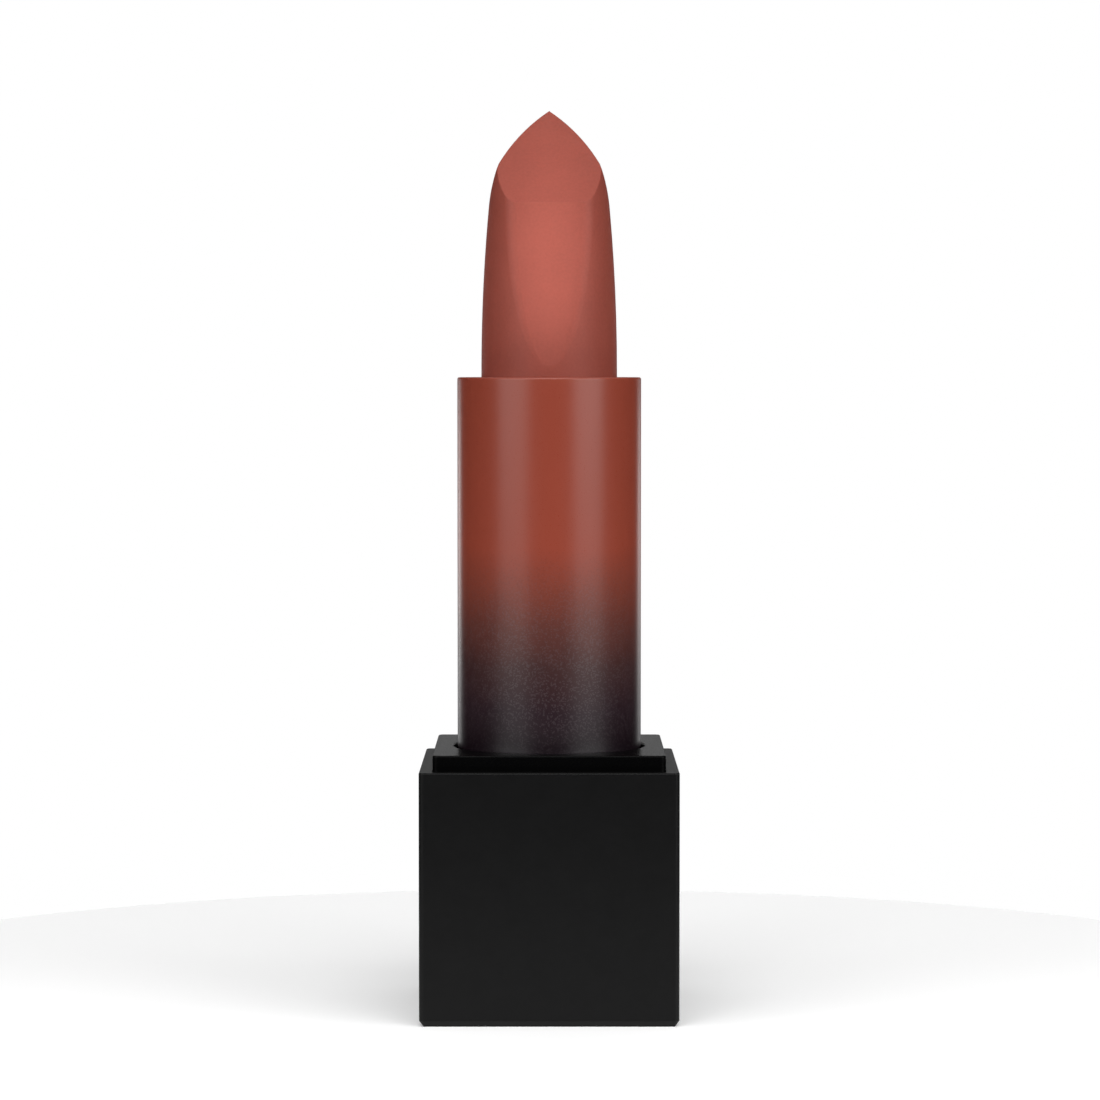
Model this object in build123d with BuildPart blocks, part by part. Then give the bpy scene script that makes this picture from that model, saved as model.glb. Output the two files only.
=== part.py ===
"""Lipstick case without its cap: a square base, a round tube that turns in it, and a slanted bullet.

Frame: millimetres, +Z up, the base stands on Z = 0 with its middle at the origin, and the
bullet's slanted face looks towards -Y. The case is drawn wound all the way up.
"""

from build123d import *

import os
from math import cos, pi, radians, sin, sqrt

os.makedirs("parts", exist_ok=True)

# ---------------------------------------------------------------- driving dimensions

# Base shell: the square block that is held in the hand
BASE_WIDTH = 22.7
BASE_HEIGHT = 22.2
BASE_WALL = 1.12
BASE_CORNER_RADIUS = 0.45
BASE_RIM_RADIUS = 0.13
FOOT_CHAMFER_IN = 0.39
FOOT_CHAMFER_UP = 0.53

# Neck: the low square step that the cap slides over
NECK_WIDTH = 20.4
NECK_TOP = 23.6
NECK_BOTTOM = 19.0
NECK_CORNER_RADIUS = 0.5
NECK_EDGE_RADIUS = 0.15
NECK_BORE_RADIUS = 8.55

# Closure magnets in the corners of the neck
MAGNET_RADIUS = 1.5
MAGNET_HEIGHT = 3.0
MAGNET_OFFSET = 8.0
MAGNET_TOP = 22.9
MAGNET_PLAY = 0.05

# Outer tube: the thin lacquered shell around the mechanism
TUBE_RADIUS = 8.2
TUBE_WALL = 0.4
TUBE_BOTTOM = 14.35
TUBE_TOP = 56.5
TUBE_LIP_RADIUS = 7.05
TUBE_EDGE_RADIUS = 0.17

# Crimp: the groove rolled into the outer tube, just inside the neck, that locks the cam sleeve in it
CRIMP_HEIGHT = 23.1
CRIMP_WIDTH = 0.8
CRIMP_DEPTH = 0.12

# Screw mechanism: carrier travel, and the turns of the tube that give it
CARRIER_TRAVEL = 25.2
TURNS = 1.5
RUNNING_PLAY = 0.05
CAM_INNER_RADIUS = 7.0
CAM_TOP = 53.75
GROOVE_DEPTH = 0.5
LUG_RADIUS = 0.8
LUG_HEIGHT = 45.6
LUG_PLAY = 0.1

# Guide tube: fixed in the base, keeps the carrier from turning
GUIDE_RADIUS = CAM_INNER_RADIUS - RUNNING_PLAY
GUIDE_BORE_RADIUS = 6.5
GUIDE_BOTTOM = 8.2
GUIDE_TOP = 54.9
GUIDE_FOOT_BORE_RADIUS = 5.4
GUIDE_FOOT_TOP = 18.2
BOSS_RADIUS = 7.5
BOSS_KEY_WIDTH = 2.4
BOSS_KEY_REACH = 8.1
FLANGE_RADIUS = 8.3
FLANGE_BOTTOM = 13.2
FLANGE_HEIGHT = 0.8
BEAD_RADIUS = 7.45
BEAD_HEIGHT = 1.05
RING_HEIGHT = 16.2
RING_SECTION_RADIUS = 0.32
RING_GROOVE_DEPTH = 0.67

# Carrier cup
CUP_RADIUS = GUIDE_BORE_RADIUS - RUNNING_PLAY
CUP_WALL = 0.38
CUP_TOP = 55.3
CUP_BOTTOM = 43.8
CUP_FLOOR = 0.9
CUP_VENT_RADIUS = 1.6
CUP_RIB_COUNT = 6
CUP_RIB_WIDTH = 0.5
CUP_RIB_REACH = 0.35
CUP_RIB_HEIGHT = 7.0

# Bullet: a 12.1 mm stick with a long taper, a pointed tip and a slanted front
BULLET_RADIUS = 6.05
BULLET_TOP = 80.35
BULLET_TAPER_START = 57.0
BULLET_TAPER_ARC = 160.0
BULLET_SHOULDER = 71.5
BULLET_BACK_ARC = 30.0
BULLET_BACK_TURN = 20.0
TIP_FOOT = 71.9
TIP_FOOT_HALF_WIDTH = 5.35
TIP_SIDE_ARC = 15.0
TIP_JUNCTION = 75.4
TIP_HALF_WIDTH = 4.5
TIP_ARC = 15.0
RIDGE_HEIGHT = 71.9
RIDGE_DEPTH = 4.1
FRONT_FOOT = 57.5
SLANT_ELEVATION = 50.0
BULLET_FRONT_RADIUS = 1.4
BULLET_EDGE_RADIUS = 0.12

# Inside of the base, from the bottom up
COVER_BOTTOM = 0.45
COVER_TOP = 2.0
LABEL_RADIUS = 7.4
LABEL_THICKNESS = 0.12
LABEL_RECESS_RADIUS = 7.5
LABEL_RECESS_DEPTH = 0.15
WEIGHT_WIDTH = 18.6
WEIGHT_HEIGHT = 4.2
WEIGHT_CHAMFER = 0.4
PAD_WIDTH = 16.0
PAD_THICKNESS = 0.4
INSERT_PLAY = 0.04
SNAP_REACH = 0.2
SNAP_HEIGHT = 0.6
SNAP_PLAY = 0.03
HOLDER_WALL = 1.2
HOLDER_DECK = 1.2
HOLDER_WELL_RADIUS = 8.65
HOLDER_SOCKET_RADIUS = 7.56
HOLDER_FLOOR = 1.2
PEG_RADIUS = 1.35

# ---------------------------------------------------------------- worked-out dimensions

BORE_WIDTH = BASE_WIDTH - 2 * BASE_WALL
INSERT_WIDTH = BORE_WIDTH - 2 * INSERT_PLAY
WEIGHT_BOTTOM = COVER_TOP
PAD_BOTTOM = WEIGHT_BOTTOM + WEIGHT_HEIGHT
HOLDER_BOTTOM = PAD_BOTTOM + PAD_THICKNESS
HOLDER_TOP = NECK_BOTTOM
MAGNET_BOTTOM = MAGNET_TOP - MAGNET_HEIGHT
LUG_TRACK_RADIUS = CAM_INNER_RADIUS + GROOVE_DEPTH
CAM_OUTER_RADIUS = TUBE_RADIUS - TUBE_WALL
LEAD = CARRIER_TRAVEL / TURNS
COVER_SNAP_HEIGHT = (COVER_BOTTOM + COVER_TOP) / 2
NECK_SNAP_HEIGHT = NECK_BOTTOM + 1.4


def save(builder, name):
    """Label one finished sub-part and write it to its own file."""
    builder.part.label = name
    export_step(builder.part, f"parts/{name}.step")


# ---------------------------------------------------------------- base: shell and what it holds

# Square shell, open above and below, with a snap groove for the neck and one for the cover
with BuildPart() as base_shell:
    with BuildSketch():
        RectangleRounded(BASE_WIDTH, BASE_WIDTH, BASE_CORNER_RADIUS)
    extrude(amount=BASE_HEIGHT)
    foot = base_shell.faces().sort_by(Axis.Z)[0]
    chamfer(foot.edges(), FOOT_CHAMFER_IN, FOOT_CHAMFER_UP, reference=foot)
    fillet(base_shell.faces().sort_by(Axis.Z)[-1].edges(), BASE_RIM_RADIUS)
    with BuildSketch():
        Rectangle(BORE_WIDTH, BORE_WIDTH)
    extrude(amount=BASE_HEIGHT, mode=Mode.SUBTRACT)
    for height in (COVER_SNAP_HEIGHT, NECK_SNAP_HEIGHT):
        groove_height = SNAP_HEIGHT + 2 * SNAP_PLAY
        with BuildSketch(Plane.XY.offset(height - groove_height / 2)):
            Rectangle(BORE_WIDTH + 2 * SNAP_REACH, BORE_WIDTH + 2 * SNAP_REACH)
        extrude(amount=groove_height, mode=Mode.SUBTRACT)
save(base_shell, "base_shell")

# Bottom cover: pressed into the shell, recessed so that the shell's rim carries the case
with BuildPart() as bottom_cover:
    with BuildSketch(Plane.XY.offset(COVER_BOTTOM)):
        Rectangle(INSERT_WIDTH, INSERT_WIDTH)
    extrude(amount=COVER_TOP - COVER_BOTTOM)
    with BuildSketch(Plane.XY.offset(COVER_SNAP_HEIGHT - SNAP_HEIGHT / 2)):
        Rectangle(INSERT_WIDTH + 2 * SNAP_REACH, INSERT_WIDTH - 4 * BASE_WALL)
        Rectangle(INSERT_WIDTH - 4 * BASE_WALL, INSERT_WIDTH + 2 * SNAP_REACH)
    extrude(amount=SNAP_HEIGHT)
    with BuildSketch(Plane.XY.offset(COVER_BOTTOM)):
        Circle(LABEL_RECESS_RADIUS)
    extrude(amount=LABEL_RECESS_DEPTH, mode=Mode.SUBTRACT)
save(bottom_cover, "bottom_cover")

# Blank round label in the cover's recess
with BuildPart() as shade_label:
    with BuildSketch(Plane.XY.offset(COVER_BOTTOM + LABEL_RECESS_DEPTH - LABEL_THICKNESS)):
        Circle(LABEL_RADIUS)
    extrude(amount=LABEL_THICKNESS)
save(shade_label, "shade_label")

# Steel slug that makes the base heavy, and the adhesive pad that keeps it from rattling
with BuildPart() as base_weight:
    with BuildSketch(Plane.XY.offset(WEIGHT_BOTTOM)):
        Rectangle(WEIGHT_WIDTH, WEIGHT_WIDTH)
    extrude(amount=WEIGHT_HEIGHT)
    chamfer(base_weight.edges(), WEIGHT_CHAMFER)
save(base_weight, "base_weight")

with BuildPart() as weight_pad:
    with BuildSketch(Plane.XY.offset(PAD_BOTTOM)):
        Rectangle(PAD_WIDTH, PAD_WIDTH)
    extrude(amount=PAD_THICKNESS)
save(weight_pad, "weight_pad")

# Mechanism holder: a round well and a keyed socket inside a square wall, hollow in the corners
with BuildPart() as mechanism_holder:
    with BuildSketch(Plane.XY.offset(HOLDER_BOTTOM)):
        Rectangle(INSERT_WIDTH, INSERT_WIDTH)
    extrude(amount=HOLDER_TOP - HOLDER_BOTTOM)
    with BuildSketch(Plane.XY.offset(FLANGE_BOTTOM)):
        Circle(HOLDER_WELL_RADIUS)
    extrude(amount=HOLDER_TOP - FLANGE_BOTTOM, mode=Mode.SUBTRACT)
    with BuildSketch(Plane.XY.offset(HOLDER_BOTTOM + HOLDER_FLOOR)):
        Circle(HOLDER_SOCKET_RADIUS)
        Rectangle(2 * (BOSS_KEY_REACH + INSERT_PLAY), BOSS_KEY_WIDTH + 2 * INSERT_PLAY)
    extrude(amount=FLANGE_BOTTOM - HOLDER_BOTTOM - HOLDER_FLOOR, mode=Mode.SUBTRACT)
    with BuildSketch(Plane.XY.offset(HOLDER_BOTTOM)):
        Rectangle(INSERT_WIDTH - 2 * HOLDER_WALL, INSERT_WIDTH - 2 * HOLDER_WALL)
        Circle(HOLDER_WELL_RADIUS + HOLDER_WALL, mode=Mode.SUBTRACT)
    extrude(amount=HOLDER_TOP - HOLDER_BOTTOM - HOLDER_DECK, mode=Mode.SUBTRACT)
    with BuildSketch(Plane.XY.offset(HOLDER_TOP)):
        with GridLocations(2 * MAGNET_OFFSET, 2 * MAGNET_OFFSET, 2, 2):
            Circle(PEG_RADIUS)
    extrude(amount=MAGNET_BOTTOM - HOLDER_TOP)
save(mechanism_holder, "mechanism_holder")

# ---------------------------------------------------------------- neck and its magnets

# Square neck with the round bore for the tube, and a blind pocket under each corner
with BuildPart() as neck_collar:
    with BuildSketch(Plane.XY.offset(NECK_BOTTOM)):
        RectangleRounded(NECK_WIDTH, NECK_WIDTH, NECK_CORNER_RADIUS)
    extrude(amount=NECK_TOP - NECK_BOTTOM)
    fillet(neck_collar.faces().sort_by(Axis.Z)[-1].edges(), NECK_EDGE_RADIUS)
    with BuildSketch(Plane.XY.offset(NECK_SNAP_HEIGHT - SNAP_HEIGHT / 2)):
        Rectangle(NECK_WIDTH + 2 * SNAP_REACH, NECK_WIDTH - 4 * BASE_WALL)
        Rectangle(NECK_WIDTH - 4 * BASE_WALL, NECK_WIDTH + 2 * SNAP_REACH)
    extrude(amount=SNAP_HEIGHT)
    with BuildSketch(Plane.XY.offset(NECK_BOTTOM)):
        Circle(NECK_BORE_RADIUS)
    extrude(amount=NECK_TOP - NECK_BOTTOM, mode=Mode.SUBTRACT)
    bore_rim = neck_collar.edges().filter_by(GeomType.CIRCLE).group_by(Axis.Z)[-1]
    fillet(bore_rim.sort_by(SortBy.RADIUS)[-1], NECK_EDGE_RADIUS)
    with BuildSketch(Plane.XY.offset(NECK_BOTTOM)):
        with GridLocations(2 * MAGNET_OFFSET, 2 * MAGNET_OFFSET, 2, 2):
            Circle(MAGNET_RADIUS + MAGNET_PLAY)
    extrude(amount=MAGNET_TOP - NECK_BOTTOM, mode=Mode.SUBTRACT)
save(neck_collar, "neck_collar")

# Four small disc magnets that hold the cap down
for side, x in (("left", -MAGNET_OFFSET), ("right", MAGNET_OFFSET)):
    for end, y in (("front", -MAGNET_OFFSET), ("back", MAGNET_OFFSET)):
        with BuildPart() as closure_magnet:
            with BuildSketch(Plane.XY.offset(MAGNET_BOTTOM)):
                with Locations((x, y)):
                    Circle(MAGNET_RADIUS)
            extrude(amount=MAGNET_HEIGHT)
        save(closure_magnet, f"closure_magnet_{end}_{side}")

# ---------------------------------------------------------------- mechanism: fixed guide tube

with BuildPart() as guide_tube:
    # tube wall, thick at the foot and thin where the carrier runs
    with BuildSketch(Plane.XY.offset(GUIDE_BOTTOM)):
        Circle(GUIDE_RADIUS)
    extrude(amount=GUIDE_TOP - GUIDE_BOTTOM)
    # keyed boss that sits in the holder's socket
    with BuildSketch(Plane.XY.offset(GUIDE_BOTTOM)):
        Circle(BOSS_RADIUS)
        Rectangle(2 * BOSS_KEY_REACH, BOSS_KEY_WIDTH)
    extrude(amount=FLANGE_BOTTOM - GUIDE_BOTTOM)
    # flange under the turning parts, and the bead that keeps them on
    with BuildSketch(Plane.XY.offset(FLANGE_BOTTOM)):
        Circle(FLANGE_RADIUS)
    extrude(amount=FLANGE_HEIGHT)
    with BuildSketch(Plane.XY.offset(GUIDE_TOP - BEAD_HEIGHT)):
        Circle(BEAD_RADIUS)
    extrude(amount=BEAD_HEIGHT)
    chamfer(guide_tube.faces().sort_by(Axis.Z)[-1].edges(), BEAD_RADIUS - GUIDE_RADIUS)
    with BuildSketch(Plane.XY.offset(GUIDE_BOTTOM)):
        Circle(GUIDE_FOOT_BORE_RADIUS)
    extrude(amount=GUIDE_FOOT_TOP - GUIDE_BOTTOM, mode=Mode.SUBTRACT)
    with BuildSketch(Plane.XY.offset(GUIDE_FOOT_TOP)):
        Circle(GUIDE_BORE_RADIUS)
    extrude(amount=GUIDE_TOP - GUIDE_FOOT_TOP, mode=Mode.SUBTRACT)
    # groove for the friction ring
    ring_groove_height = 2 * (RING_SECTION_RADIUS + RUNNING_PLAY)
    with BuildSketch(Plane.XY.offset(RING_HEIGHT - ring_groove_height / 2)):
        Circle(BEAD_RADIUS)
        Circle(GUIDE_RADIUS - RING_GROOVE_DEPTH, mode=Mode.SUBTRACT)
    extrude(amount=ring_groove_height, mode=Mode.SUBTRACT)
    # two straight slots, one on each side, that the carrier's lugs slide in
    slot_width = 2 * (LUG_RADIUS + LUG_PLAY)
    with BuildSketch(Plane.YZ.offset(-GUIDE_RADIUS)):
        with Locations((0, LUG_HEIGHT - CARRIER_TRAVEL / 2)):
            SlotCenterToCenter(CARRIER_TRAVEL, slot_width, rotation=90)
    extrude(amount=2 * GUIDE_RADIUS, mode=Mode.SUBTRACT)
save(guide_tube, "guide_tube")

# Silicone ring that gives the turning its drag
with BuildPart() as friction_ring:
    with BuildSketch(Plane.XZ):
        with Locations((GUIDE_RADIUS - RING_SECTION_RADIUS, RING_HEIGHT)):
            Circle(RING_SECTION_RADIUS)
    revolve(axis=Axis.Z)
save(friction_ring, "friction_ring")

# ---------------------------------------------------------------- mechanism: turning parts


def crimp_ring(radius):
    """Ring with the rolled groove's rounded section, pressed inward from this radius."""
    with BuildPart() as ring:
        with BuildSketch(Plane.XZ):
            with BuildLine():
                roll = ThreePointArc(
                    (radius, CRIMP_HEIGHT - CRIMP_WIDTH / 2),
                    (radius - CRIMP_DEPTH, CRIMP_HEIGHT),
                    (radius, CRIMP_HEIGHT + CRIMP_WIDTH / 2),
                )
                Polyline(
                    roll @ 1,
                    (radius + CRIMP_DEPTH, CRIMP_HEIGHT + CRIMP_WIDTH / 2),
                    (radius + CRIMP_DEPTH, CRIMP_HEIGHT - CRIMP_WIDTH / 2),
                    roll @ 0,
                )
            make_face()
        revolve(axis=Axis.Z)
    return ring.part


# One start of the screw groove, as the solid that is taken out of the cam sleeve
END_ALLOWANCE = LUG_RADIUS + LUG_PLAY
END_RISE = LEAD * END_ALLOWANCE / (2 * pi * CAM_INNER_RADIUS)
with BuildPart() as screw_groove:
    with BuildLine() as groove_path:
        Helix(
            pitch=LEAD,
            height=CARRIER_TRAVEL + 2 * END_RISE,
            radius=CAM_INNER_RADIUS,
            center=(0, 0, LUG_HEIGHT - CARRIER_TRAVEL - END_RISE),
        )
    groove_start = groove_path.line @ 0
    with BuildSketch(Plane(origin=groove_start, x_dir=(1, 0, 0), z_dir=groove_path.line % 0)):
        Rectangle(2 * GROOVE_DEPTH, 2 * (LUG_RADIUS + LUG_PLAY))
    sweep(path=groove_path.line, is_frenet=True)

# Cam sleeve: turns with the outer tube and winds the carrier up and down
with BuildPart() as cam_sleeve:
    with BuildSketch(Plane.XY.offset(TUBE_BOTTOM)):
        Circle(CAM_OUTER_RADIUS)
        Circle(CAM_INNER_RADIUS, mode=Mode.SUBTRACT)
    extrude(amount=CAM_TOP - TUBE_BOTTOM)
    # turned so that each groove's upper end is over a lug when the case is wound up
    with PolarLocations(0, 2, start_angle=-360 * (TURNS + END_RISE / LEAD)):
        add(screw_groove.part, mode=Mode.SUBTRACT)
    add(crimp_ring(CAM_OUTER_RADIUS), mode=Mode.SUBTRACT)
save(cam_sleeve, "cam_sleeve")

# Outer tube: thin drawn shell with its mouth rolled in
with BuildPart() as outer_tube:
    with BuildSketch(Plane.XY.offset(TUBE_BOTTOM)):
        Circle(TUBE_RADIUS)
    extrude(amount=TUBE_TOP - TUBE_BOTTOM)
    fillet(outer_tube.faces().sort_by(Axis.Z)[-1].edges(), TUBE_EDGE_RADIUS)
    with BuildSketch(Plane.XY.offset(TUBE_BOTTOM)):
        Circle(CAM_OUTER_RADIUS)
    extrude(amount=TUBE_TOP - TUBE_WALL - TUBE_BOTTOM, mode=Mode.SUBTRACT)
    with BuildSketch(Plane.XY.offset(TUBE_TOP - TUBE_WALL)):
        Circle(TUBE_LIP_RADIUS)
    extrude(amount=TUBE_WALL, mode=Mode.SUBTRACT)
    mouth = outer_tube.edges().filter_by(GeomType.CIRCLE).group_by(Axis.Z)[-1]
    fillet(mouth.sort_by(SortBy.RADIUS)[0], TUBE_EDGE_RADIUS)
    add(crimp_ring(CAM_OUTER_RADIUS))
    add(crimp_ring(TUBE_RADIUS), mode=Mode.SUBTRACT)
save(outer_tube, "outer_tube")

# ---------------------------------------------------------------- mechanism: carrier and bullet

# Grips inside the cup, also taken out of the bullet that they bite into
with BuildPart() as cup_ribs:
    with BuildSketch(Plane.XY.offset(CUP_BOTTOM + CUP_FLOOR)):
        with PolarLocations(CUP_RADIUS - CUP_WALL, CUP_RIB_COUNT):
            Rectangle(2 * CUP_RIB_REACH, CUP_RIB_WIDTH)
    extrude(amount=CUP_RIB_HEIGHT)

with BuildPart() as carrier_cup:
    with BuildSketch(Plane.XY.offset(CUP_BOTTOM)):
        Circle(CUP_RADIUS)
    extrude(amount=CUP_TOP - CUP_BOTTOM)
    with BuildSketch(Plane.XY.offset(CUP_BOTTOM + CUP_FLOOR)):
        Circle(CUP_RADIUS - CUP_WALL)
    extrude(amount=CUP_TOP - CUP_BOTTOM - CUP_FLOOR, mode=Mode.SUBTRACT)
    with BuildSketch(Plane.XY.offset(CUP_BOTTOM)):
        Circle(CUP_VENT_RADIUS)
    extrude(amount=CUP_FLOOR, mode=Mode.SUBTRACT)
    add(cup_ribs.part)
    # two lugs through the guide tube's slots into the screw grooves
    lug_root = CUP_RADIUS - CUP_WALL / 2
    for direction in (1, -1):
        with BuildSketch(Plane.YZ.offset(direction * lug_root)):
            with Locations((0, LUG_HEIGHT)):
                Circle(LUG_RADIUS)
        extrude(amount=direction * (LUG_TRACK_RADIUS - RUNNING_PLAY - lug_root))
save(carrier_cup, "carrier_cup")


def taper_radius(height):
    """Radius of the bullet's long taper, a shallow arc that starts upright."""
    rise = height - BULLET_TAPER_START
    return BULLET_RADIUS - BULLET_TAPER_ARC + sqrt(BULLET_TAPER_ARC**2 - rise**2)


# Two flat cuts: the long steep front, and the slanted face above it. They meet in the ridge.
ridge = Vector(0, -RIDGE_DEPTH, RIDGE_HEIGHT)
front_foot = Vector(0, -taper_radius(FRONT_FOOT), FRONT_FOOT)
slant_angle = radians(SLANT_ELEVATION)
front_plane = Plane(origin=ridge, x_dir=(1, 0, 0), z_dir=Vector(1, 0, 0).cross(ridge - front_foot))
slant_plane = Plane(origin=ridge, x_dir=(1, 0, 0), z_dir=(0, -sin(slant_angle), cos(slant_angle)))

with BuildPart() as lipstick_bullet:
    # round stick: upright, a long taper, then the rounded back of the tip
    with BuildSketch(Plane.XZ):
        with BuildLine():
            upright = Polyline(
                (0, CUP_BOTTOM + CUP_FLOOR),
                (BULLET_RADIUS, CUP_BOTTOM + CUP_FLOOR),
                (BULLET_RADIUS, BULLET_TAPER_START),
            )
            taper = TangentArc(
                (BULLET_RADIUS, BULLET_TAPER_START),
                (taper_radius(BULLET_SHOULDER), BULLET_SHOULDER),
                tangent=(0, 1),
            )
            back = JernArc(taper @ 1, taper % 1, BULLET_BACK_ARC, BULLET_BACK_TURN)
            Polyline(back @ 1, (0, (back @ 1).Y), upright @ 0)
        make_face()
    revolve(axis=Axis.Z)
    # the long steep front, well rounded into the stick along both sides
    split(bisect_by=front_plane, keep=Keep.BOTTOM)
    front_cut = lipstick_bullet.faces().filter_by(GeomType.PLANE).sort_by(Axis.Y)[0]
    fillet(front_cut.edges(), BULLET_FRONT_RADIUS)
    # the tip is a pointed arch as seen from the front
    with BuildSketch(Plane.XZ):
        with BuildLine():
            tip_arc = RadiusArc((TIP_HALF_WIDTH, TIP_JUNCTION), (0, BULLET_TOP), -TIP_ARC)
            side_arc = RadiusArc((TIP_FOOT_HALF_WIDTH, TIP_FOOT), tip_arc @ 0, -TIP_SIDE_ARC)
            Polyline(
                side_arc @ 0,
                (BASE_WIDTH / 2, BULLET_TAPER_START),
                (BASE_WIDTH / 2, CUP_BOTTOM),
                (0, CUP_BOTTOM),
            )
            mirror(about=Plane.YZ)
        make_face()
    extrude(amount=BULLET_RADIUS, both=True, mode=Mode.INTERSECT)
    # the slanted face, its edges only just softened
    split(bisect_by=slant_plane, keep=Keep.BOTTOM)
    slant_cut = lipstick_bullet.faces().filter_by(GeomType.PLANE).sort_by(Axis.Z)[-1]
    fillet(slant_cut.edges(), BULLET_EDGE_RADIUS)
    add(cup_ribs.part, mode=Mode.SUBTRACT)
save(lipstick_bullet, "lipstick_bullet")
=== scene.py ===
"""Lipstick case, wound up and without its cap: finishes, studio light and camera.

Everything is in metres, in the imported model's frame: Z up, the base stands on Z = 0, and the
bullet's slanted face looks towards -Y, where the camera stands.
"""

import math

import bpy
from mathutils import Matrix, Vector


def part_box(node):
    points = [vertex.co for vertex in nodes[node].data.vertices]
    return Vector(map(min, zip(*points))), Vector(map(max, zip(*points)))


MM = 0.001

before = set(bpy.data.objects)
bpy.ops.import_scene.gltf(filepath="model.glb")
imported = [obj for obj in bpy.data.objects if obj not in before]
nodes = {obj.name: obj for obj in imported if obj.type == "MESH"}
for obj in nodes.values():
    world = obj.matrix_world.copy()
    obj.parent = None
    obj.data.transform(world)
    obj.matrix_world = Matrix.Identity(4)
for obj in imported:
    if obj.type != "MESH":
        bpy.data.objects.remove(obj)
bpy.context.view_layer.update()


# ---------------------------------------------------------------- node helpers

# The part of a noise's range that nearly all its values lie in
NOISE_LOW = 0.3
NOISE_HIGH = 0.7

# Sockets of the mix node that are for colours
MIX_FACTOR = 0
MIX_A = 6
MIX_B = 7
MIX_RESULT = 2


class Finish:
    """One material: a Principled shader, with short ways to add the nodes that feed it."""

    def __init__(self, name, **constants):
        self.material = bpy.data.materials.new(name)
        self.material.use_nodes = True
        self.tree = self.material.node_tree
        self.shader = self.tree.nodes["Principled BSDF"]
        for socket, value in constants.items():
            self.shader.inputs[socket.replace("_", " ")].default_value = value
        self.place = self.add("ShaderNodeTexCoord").outputs["Object"]

    def add(self, kind, inputs=None, **settings):
        """A node with its settings, and each input linked to an output or set to a value."""
        node = self.tree.nodes.new(kind)
        for key, value in settings.items():
            setattr(node, key, value)
        for key, value in (inputs or {}).items():
            self.feed(node.inputs[key], value)
        return node

    def feed(self, socket, value):
        """Link an output to the socket, or set the socket to a value."""
        if isinstance(value, bpy.types.NodeSocket):
            self.tree.links.new(value, socket)
        else:
            socket.default_value = value

    def noise(self, grain, detail=2.0):
        """Noise whose spots are about grain metres across, from 0 to 1."""
        inputs = {"Vector": self.place, "Scale": 1 / grain, "Detail": detail, "Roughness": 0.5}
        return self.add("ShaderNodeTexNoise", inputs).outputs["Fac"]

    def math(self, operation, a, b):
        return self.add("ShaderNodeMath", {0: a, 1: b}, operation=operation).outputs[0]

    def spread(self, value, low, high, new_low, new_high):
        """The value's range low..high laid over new_low..new_high, and clamped there."""
        inputs = {
            "Value": value,
            "From Min": low,
            "From Max": high,
            "To Min": new_low,
            "To Max": new_high,
        }
        return self.add("ShaderNodeMapRange", inputs).outputs["Result"]

    def spread_noise(self, noise, new_low, new_high):
        """A noise laid over new_low..new_high."""
        return self.spread(noise, NOISE_LOW, NOISE_HIGH, new_low, new_high)

    def mix(self, factor, a, b):
        """Colours a and b mixed by a factor."""
        node = self.add("ShaderNodeMix", data_type="RGBA")
        self.feed(node.inputs[MIX_FACTOR], factor)
        self.feed(node.inputs[MIX_A], a)
        self.feed(node.inputs[MIX_B], b)
        return node.outputs[MIX_RESULT]

    def height(self):
        """Z of the shaded point, in metres."""
        return self.add("ShaderNodeSeparateXYZ", {0: self.place}).outputs["Z"]

    def bump(self, value, depth):
        """Relief of that depth in metres, from a value between 0 and 1."""
        inputs = {"Height": value, "Distance": depth, "Strength": 1.0}
        self.feed(self.shader.inputs["Normal"], self.add("ShaderNodeBump", inputs).outputs["Normal"])

    def colour(self, value):
        self.feed(self.shader.inputs["Base Color"], value)

    def roughness(self, value):
        self.feed(self.shader.inputs["Roughness"], value)

    def on(self, *names):
        """Put this finish on those CAD nodes."""
        for name in names:
            for slot in nodes[name].material_slots:
                slot.material = self.material


def grained(name, colour, other_colour, grain, roughness, relief, **constants):
    """A plain moulded or sprayed finish: two close colours, and a fine grain in gloss and relief."""
    finish = Finish(name, **constants)
    fine = finish.noise(grain)
    broad = finish.noise(25 * grain, detail=3.0)
    finish.colour(finish.mix(finish.spread_noise(broad, 0.0, 1.0), colour, other_colour))
    finish.roughness(finish.spread_noise(fine, *roughness))
    finish.bump(fine, relief)
    return finish


# ---------------------------------------------------------------- finishes of the outside


def make_base_black():
    """Soft matt black of the shell: sprayed, with a very fine grain."""
    return grained(
        "base_black",
        colour=(0.0028, 0.0028, 0.0029, 1),
        other_colour=(0.0035, 0.0035, 0.0036, 1),
        grain=0.09 * MM,
        roughness=(0.34, 0.43),
        relief=0.0022 * MM,
        Specular_IOR_Level=0.15,
    )


def make_neck_black():
    """Smoother and deeper black of the neck."""
    return grained(
        "neck_black",
        colour=(0.0009, 0.0009, 0.0010, 1),
        other_colour=(0.0012, 0.0012, 0.0013, 1),
        grain=0.12 * MM,
        roughness=(0.26, 0.34),
        relief=0.0008 * MM,
        Specular_IOR_Level=0.06,
    )


# The tube's fade, down from its top: where the black begins, and where it covers fully
FADE_START = 15.0 * MM
FADE_END = 33.0 * MM
FADE_WANDER = 0.4 * MM
FADE_WANDER_GRAIN = 6 * MM
# Share of black on the way down, and the colour there
FADE_STOPS = (
    (0.00, (0.256, 0.0470, 0.0265, 1)),
    (0.18, (0.188, 0.0390, 0.0235, 1)),
    (0.38, (0.098, 0.0270, 0.0200, 1)),
    (0.58, (0.041, 0.0145, 0.0140, 1)),
    (0.80, (0.0140, 0.0040, 0.0076, 1)),
    (1.00, (0.0046, 0.0014, 0.0036, 1)),
)

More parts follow.
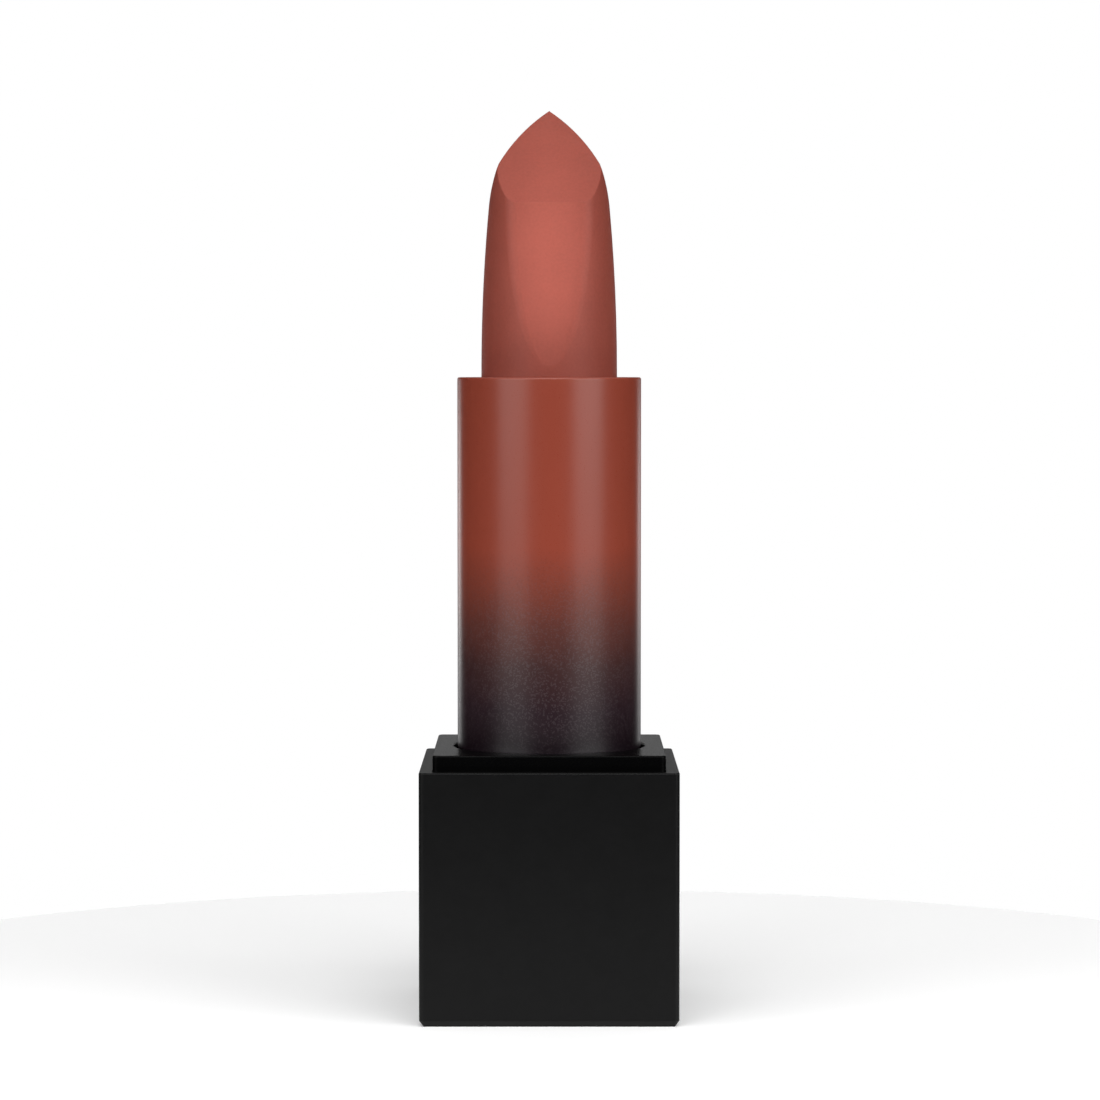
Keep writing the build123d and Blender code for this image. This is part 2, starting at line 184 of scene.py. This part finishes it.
# Droplets of the spray: dark ones and pale flecks, both most frequent halfway down the fade
DROPLET = 0.11 * MM
DARK_DROP_SHARE = 1.4
DARK_DROP_STRENGTH = 0.11
DARK_DROP_COLOUR = (0.012, 0.007, 0.008, 1)
FLECK_RARITY = 0.76
FLECK_FADE_OUT = 1.08
FLECK_STRENGTH = 0.85
FLECK_COLOUR = (0.105, 0.085, 0.092, 1)

# Gloss of the lacquer: a little duller where the spray covers it
LACQUER_GRAIN = 0.07 * MM
LACQUER_ROUGHNESS = (0.27, 0.33)
LACQUER_RELIEF = 0.0010 * MM
SPRAY_DULLING = 0.06


def make_tube_lacquer():
    """Satin lacquer of the tube: terracotta above, fading in a fine spray to near black below."""
    finish = Finish("tube_lacquer", Specular_IOR_Level=0.50)
    _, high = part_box("outer_tube")
    height = finish.height()
    # how much black has been sprayed on, from the top of the fade down
    wander = finish.spread_noise(finish.noise(FADE_WANDER_GRAIN), -FADE_WANDER, FADE_WANDER)
    level = finish.math("ADD", height, wander)
    cover = finish.spread(level, high.z - FADE_START, high.z - FADE_END, 0.0, 1.0)
    ramp = finish.add("ShaderNodeValToRGB", {"Fac": cover})
    while len(ramp.color_ramp.elements) < len(FADE_STOPS):
        ramp.color_ramp.elements.new(0.5)
    for element, (position, colour) in zip(ramp.color_ramp.elements, FADE_STOPS):
        element.position = position
        element.color = colour
    # a few dark droplets
    cells = {"Vector": finish.place, "Scale": 1 / DROPLET}
    drops = finish.add("ShaderNodeTexVoronoi", cells, feature="F1")
    chance = finish.add("ShaderNodeSeparateColor", {0: drops.outputs["Color"]}).outputs[0]
    fade = finish.math("MULTIPLY", cover, finish.math("SUBTRACT", 1.0, cover))
    dark_drops = finish.math("LESS_THAN", chance, finish.math("MULTIPLY", fade, DARK_DROP_SHARE))
    darkening = finish.math("MULTIPLY", dark_drops, DARK_DROP_STRENGTH)
    mist = finish.mix(darkening, ramp.outputs["Color"], DARK_DROP_COLOUR)
    # pale flecks, of which a trace is left where the black covers fully
    strength = finish.math("MULTIPLY", cover, finish.math("SUBTRACT", FLECK_FADE_OUT, cover))
    flecks = finish.math("MULTIPLY", finish.math("GREATER_THAN", chance, FLECK_RARITY), strength)
    finish.colour(finish.mix(finish.math("MULTIPLY", flecks, FLECK_STRENGTH), mist, FLECK_COLOUR))
    grain = finish.noise(LACQUER_GRAIN)
    gloss = finish.spread_noise(grain, *LACQUER_ROUGHNESS)
    finish.roughness(finish.math("ADD", gloss, finish.math("MULTIPLY", cover, SPRAY_DULLING)))
    finish.bump(grain, LACQUER_RELIEF)
    return finish


# Wax: clouds and specks between two close colours, and a fine grain
WAX_COLOUR = (0.250, 0.0570, 0.0400, 1)
WAX_OTHER_COLOUR = (0.294, 0.0662, 0.0462, 1)
WAX_CLOUD = 2.5 * MM
WAX_CLOUD_SHARE = 0.4
WAX_SPECK = 0.24 * MM
WAX_SPECK_SHARE = 0.6
WAX_GRAIN = 0.20 * MM
WAX_ROUGHNESS = (0.46, 0.56)
WAX_RELIEF = 0.0035 * MM


def make_lipstick_wax():
    """Lipstick: dense pigment in wax, with a soft sheen and a hardly visible grain."""
    finish = Finish(
        "lipstick_wax",
        Subsurface_Weight=0.12,
        Subsurface_Radius=(1.0, 0.35, 0.25),
        Subsurface_Scale=0.4 * MM,
        Specular_IOR_Level=0.18,
    )
    cloud = finish.spread_noise(finish.noise(WAX_CLOUD, detail=4.0), 0.0, WAX_CLOUD_SHARE)
    specks = finish.spread_noise(finish.noise(WAX_SPECK), 0.0, WAX_SPECK_SHARE)
    shade = finish.math("ADD", cloud, specks)
    finish.colour(finish.mix(shade, WAX_COLOUR, WAX_OTHER_COLOUR))
    grain = finish.noise(WAX_GRAIN, detail=4.0)
    finish.roughness(finish.spread_noise(grain, *WAX_ROUGHNESS))
    finish.bump(grain, WAX_RELIEF)
    return finish


make_base_black().on("base_shell")
make_neck_black().on("neck_collar")
make_tube_lacquer().on("outer_tube")
make_lipstick_wax().on("lipstick_bullet")


# ---------------------------------------------------------------- finishes of the inside

# These pieces show only underneath, in the mouth of the tube, or taken apart.
COVER_BLACK = (0.010, 0.010, 0.0105, 1), (0.013, 0.013, 0.0135, 1)
DARK_PLASTIC = (0.020, 0.019, 0.019, 1), (0.026, 0.025, 0.025, 1)
PAPER = (0.60, 0.58, 0.55, 1), (0.66, 0.64, 0.61, 1)
ACETAL = (0.62, 0.60, 0.56, 1), (0.66, 0.64, 0.60, 1)
SILICONE = (0.62, 0.62, 0.60, 1), (0.68, 0.68, 0.66, 1)
FOAM = (0.50, 0.50, 0.48, 1), (0.60, 0.60, 0.58, 1)
STEEL = (0.50, 0.50, 0.49, 1), (0.58, 0.58, 0.57, 1)
NICKEL = (0.62, 0.60, 0.57, 1), (0.68, 0.66, 0.63, 1)

# Name, two colours, grain in mm, roughness, relief in mm, metallic, and the pieces that have it
MAGNETS = tuple(name for name in nodes if name.startswith("closure_magnet"))
INNER_FINISHES = (
    ("cover_black", COVER_BLACK, 0.2, (0.50, 0.62), 0.006, 0.0, ("bottom_cover",)),
    ("inner_plastic", DARK_PLASTIC, 0.3, (0.42, 0.52), 0.003, 0.0, ("mechanism_holder", "guide_tube")),
    ("cup_plastic", DARK_PLASTIC, 0.3, (0.30, 0.38), 0.002, 0.0, ("carrier_cup",)),
    ("label", PAPER, 0.06, (0.62, 0.72), 0.003, 0.0, ("shade_label",)),
    ("cam_plastic", ACETAL, 0.3, (0.34, 0.44), 0.003, 0.0, ("cam_sleeve",)),
    ("silicone", SILICONE, 0.1, (0.30, 0.40), 0.002, 0.0, ("friction_ring",)),
    ("foam", FOAM, 0.25, (0.80, 0.95), 0.05, 0.0, ("weight_pad",)),
    ("steel", STEEL, 0.4, (0.28, 0.40), 0.004, 1.0, ("base_weight",)),
    ("magnet", NICKEL, 0.2, (0.16, 0.24), 0.001, 1.0, MAGNETS),
)

for name, colours, grain, roughness, relief, metallic, pieces in INNER_FINISHES:
    inner = grained(name, *colours, grain * MM, roughness, relief * MM, Metallic=metallic)
    inner.on(*pieces)


# ---------------------------------------------------------------- stage, light and camera

FLOOR_RADIUS = 0.08
FLOOR_CORNERS = 96
FLOOR_COLOUR = (0.90, 0.90, 0.90, 1)

# What the lights look at: the middle of the case, and the long front of the bullet
AIM = Vector((0, 0, 0.040))
ACCENT_AIM = Vector((0, 0, 0.0693))

CAMERA_DISTANCE = 0.355
CAMERA_HEIGHT = 0.0575
CAMERA_SIDEWAYS = 0.00007
CAMERA_TILT = 2.65
CAMERA_LENS = 130.1
CAMERA_SENSOR = 36.0


def make_floor():
    """Round pale floor, glowing a little so that it looks nearly as white as its surround."""
    turns = (math.tau * step / FLOOR_CORNERS for step in range(FLOOR_CORNERS))
    rim = [(FLOOR_RADIUS * math.cos(turn), FLOOR_RADIUS * math.sin(turn), 0) for turn in turns]
    mesh = bpy.data.meshes.new("stage_floor")
    mesh.from_pydata(rim, [], [range(FLOOR_CORNERS)])
    floor = bpy.data.objects.new("stage_floor", mesh)
    bpy.context.scene.collection.objects.link(floor)
    pale = Finish("stage_pale", Roughness=0.9, Specular_IOR_Level=0.1, Emission_Strength=0.17)
    pale.colour(FLOOR_COLOUR)
    mesh.materials.append(pale.material)


def direction_to(azimuth, elevation):
    """Unit vector away from the case. Azimuth 0 is the camera's side, positive is to its right."""
    turn, lift = math.radians(azimuth), math.radians(elevation)
    return Vector((math.sin(turn) * math.cos(lift), -math.cos(turn) * math.cos(lift), math.sin(lift)))


def place_lamp(light, aim, azimuth, elevation, distance):
    """Put a light at that distance from its aim, looking at it."""
    direction = direction_to(azimuth, elevation)
    lamp = bpy.data.objects.new(light.name, light)
    lamp.location = aim + distance * direction
    lamp.rotation_euler = direction.to_track_quat("Z", "Y").to_euler()
    lamp.visible_camera = False
    bpy.context.scene.collection.objects.link(lamp)
    return lamp


def make_softbox(name, azimuth, elevation, distance, width, height, power):
    """A rectangular panel of soft light."""
    light = bpy.data.lights.new(name, "AREA")
    light.shape = "RECTANGLE"
    light.size = width
    light.size_y = height
    light.energy = power
    place_lamp(light, AIM, azimuth, elevation, distance)


def make_accent(name, azimuth, elevation, distance, cone, squeeze, power):
    """A narrow upright soft-edged light on the long front of the bullet."""
    light = bpy.data.lights.new(name, "SPOT")
    light.spot_size = math.radians(cone)
    light.spot_blend = 1.0
    light.shadow_soft_size = 0.002
    light.energy = power
    lamp = place_lamp(light, ACCENT_AIM, azimuth, elevation, distance)
    lamp.scale.x = squeeze


def make_sky_light(name, azimuth, elevation, spread, strength):
    """Soft overhead light, the same all over the floor."""
    light = bpy.data.lights.new(name, "SUN")
    light.angle = math.radians(spread)
    light.energy = strength
    place_lamp(light, AIM, azimuth, elevation, distance=1.0)


def make_world(fill, background):
    """White to look at, with only a weak fill on the case."""
    world = bpy.data.worlds.new("studio")
    world.use_nodes = True
    tree = world.node_tree
    shine = tree.nodes["Background"]
    white = tree.nodes.new("ShaderNodeBackground")
    for shader, strength in ((shine, fill), (white, background)):
        shader.inputs["Color"].default_value = (1, 1, 1, 1)
        shader.inputs["Strength"].default_value = strength
    path = tree.nodes.new("ShaderNodeLightPath")
    choice = tree.nodes.new("ShaderNodeMixShader")
    tree.links.new(path.outputs["Is Camera Ray"], choice.inputs[0])
    tree.links.new(shine.outputs[0], choice.inputs[1])
    tree.links.new(white.outputs[0], choice.inputs[2])
    tree.links.new(choice.outputs[0], tree.nodes["World Output"].inputs["Surface"])
    bpy.context.scene.world = world


def make_camera():
    """A long lens at the height of the tube's mouth, tilted down a little to take in the base."""
    camera = bpy.data.cameras.new("camera")
    camera.sensor_width = CAMERA_SENSOR
    camera.lens = CAMERA_LENS
    camera.clip_start = 0.01
    camera.clip_end = 20.0
    holder = bpy.data.objects.new("camera", camera)
    holder.location = (CAMERA_SIDEWAYS, -CAMERA_DISTANCE, CAMERA_HEIGHT)
    holder.rotation_euler = (math.radians(90 - CAMERA_TILT), 0, 0)
    bpy.context.scene.collection.objects.link(holder)
    bpy.context.scene.camera = holder


# Name, azimuth and elevation in degrees, distance, width, height, and power in watts
SOFTBOXES = (
    # the two broad upright reflections on the tube
    ("left_box", -46, 22, 0.60, 0.44, 0.50, 1.95),
    ("right_box", 50, 22, 0.60, 0.44, 0.50, 2.38),
    # the faces that look forward and up
    ("front_box", 0, 49, 0.70, 0.50, 0.30, 2.45),
    ("back_box", 180, 7, 0.80, 0.60, 0.12, 0.16),
    # the thin bright lines along the tube's edges
    ("left_edge", -154, -3.3, 0.60, 0.10, 0.09, 0.08),
    ("right_edge", 154, -3.3, 0.60, 0.10, 0.09, 0.06),
)

make_floor()
for softbox in SOFTBOXES:
    make_softbox(*softbox)
make_accent("tip_spot", 0, -20, distance=0.30, cone=3.8, squeeze=0.46, power=2.7)
make_sky_light("sky_light", 180, 80, spread=90, strength=0.80)
make_world(fill=0.015, background=1.0)
make_camera()
bpy.context.scene.view_settings.view_transform = "Standard"
